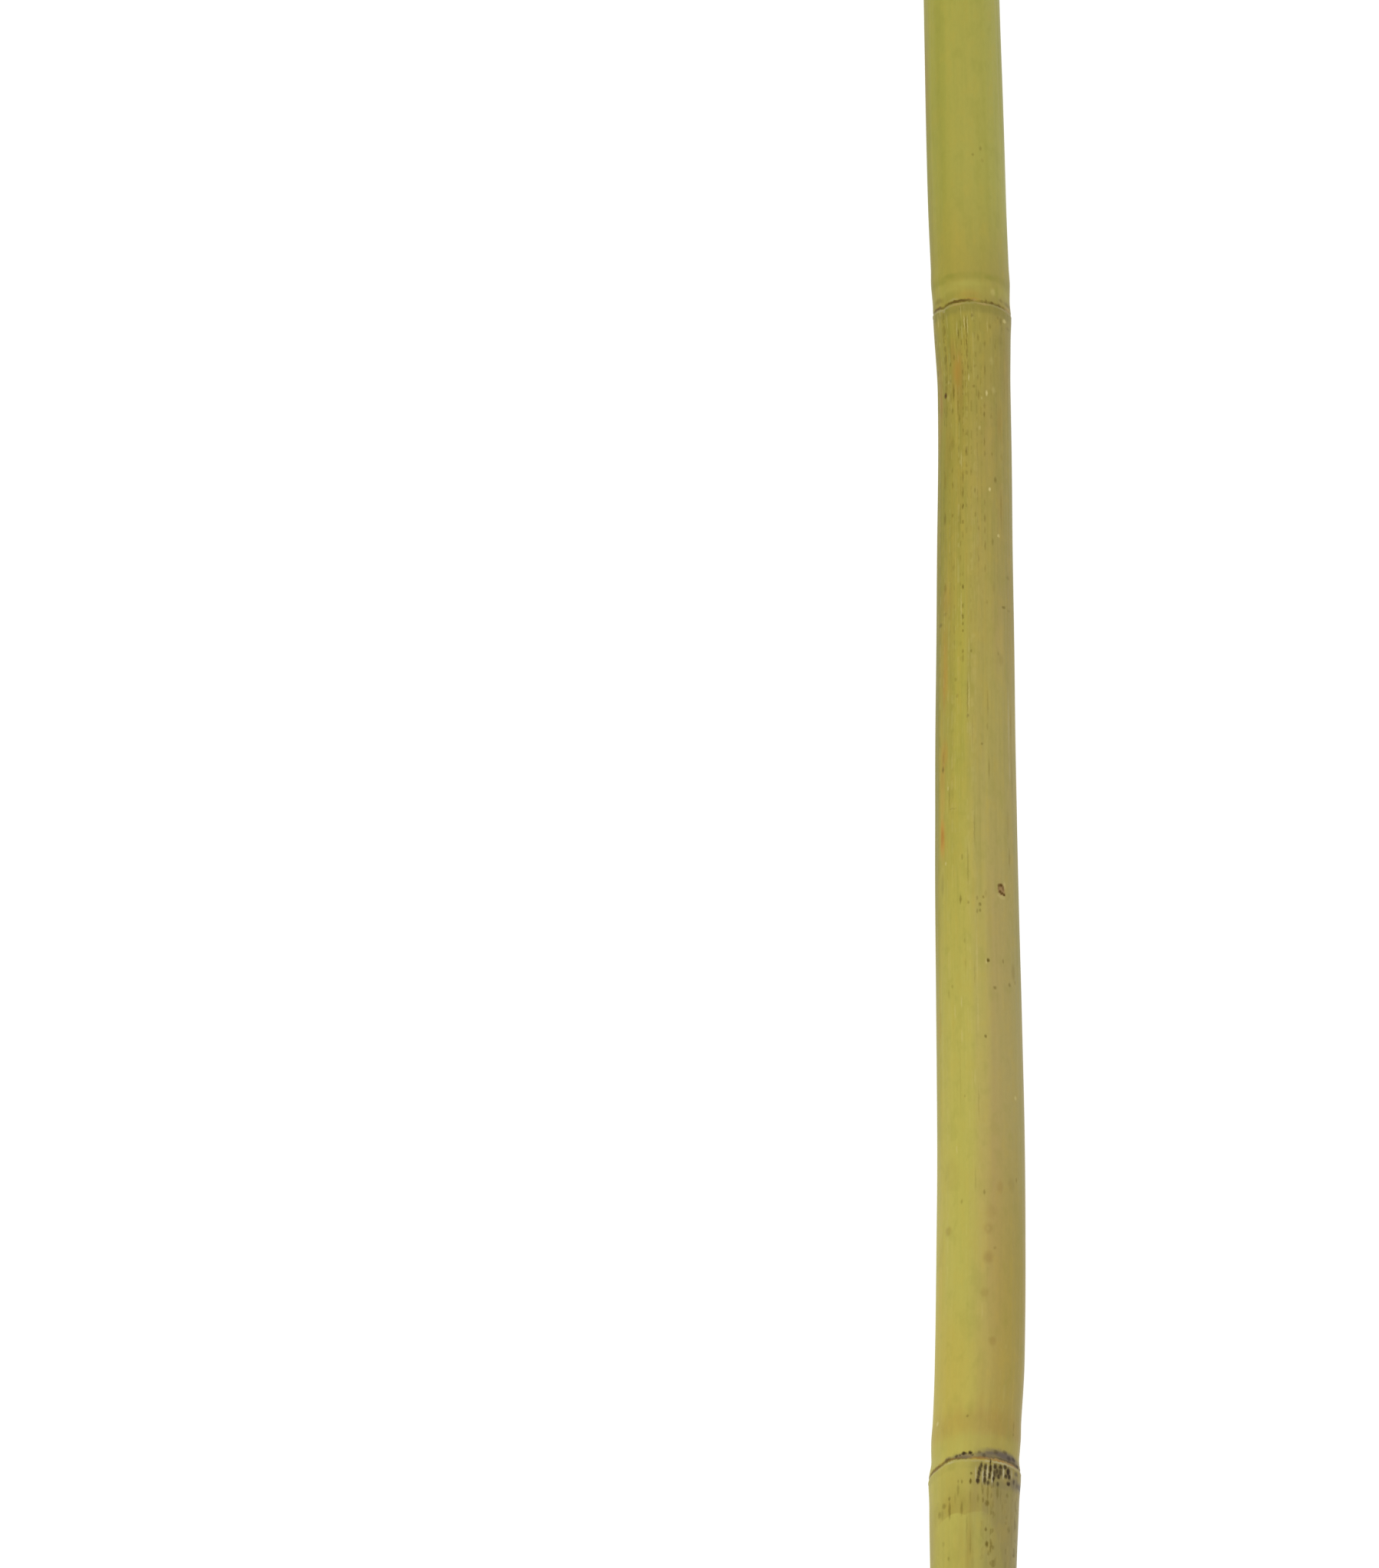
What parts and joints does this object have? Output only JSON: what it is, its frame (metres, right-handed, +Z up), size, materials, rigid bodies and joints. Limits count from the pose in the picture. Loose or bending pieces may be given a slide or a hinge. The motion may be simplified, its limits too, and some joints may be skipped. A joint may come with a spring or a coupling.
{
  "type": "bamboo cane",
  "caption": "Cut length of dried bamboo cane with low nodes, trimmed buds and hollow sawn ends, lying on its side; a stake, rail or craft rod.",
  "frame": {"origin": "on the surface that the cane lies on, under the middle of its bounding box", "axes": "+Y along the cane from its butt end to its thinner tip end, +Z up, +X to the right when looking along +Y"},
  "size_m": [0.016, 0.4, 0.013],
  "materials": {
    "bamboo_culm": "dried, green-yellow to tan skin with fine lengthwise streaks and a soft satin sheen; pale sawn ends"
  },
  "bodies": {
    "root": {"cane": "bamboo_culm"}
  },
  "joints": []
}
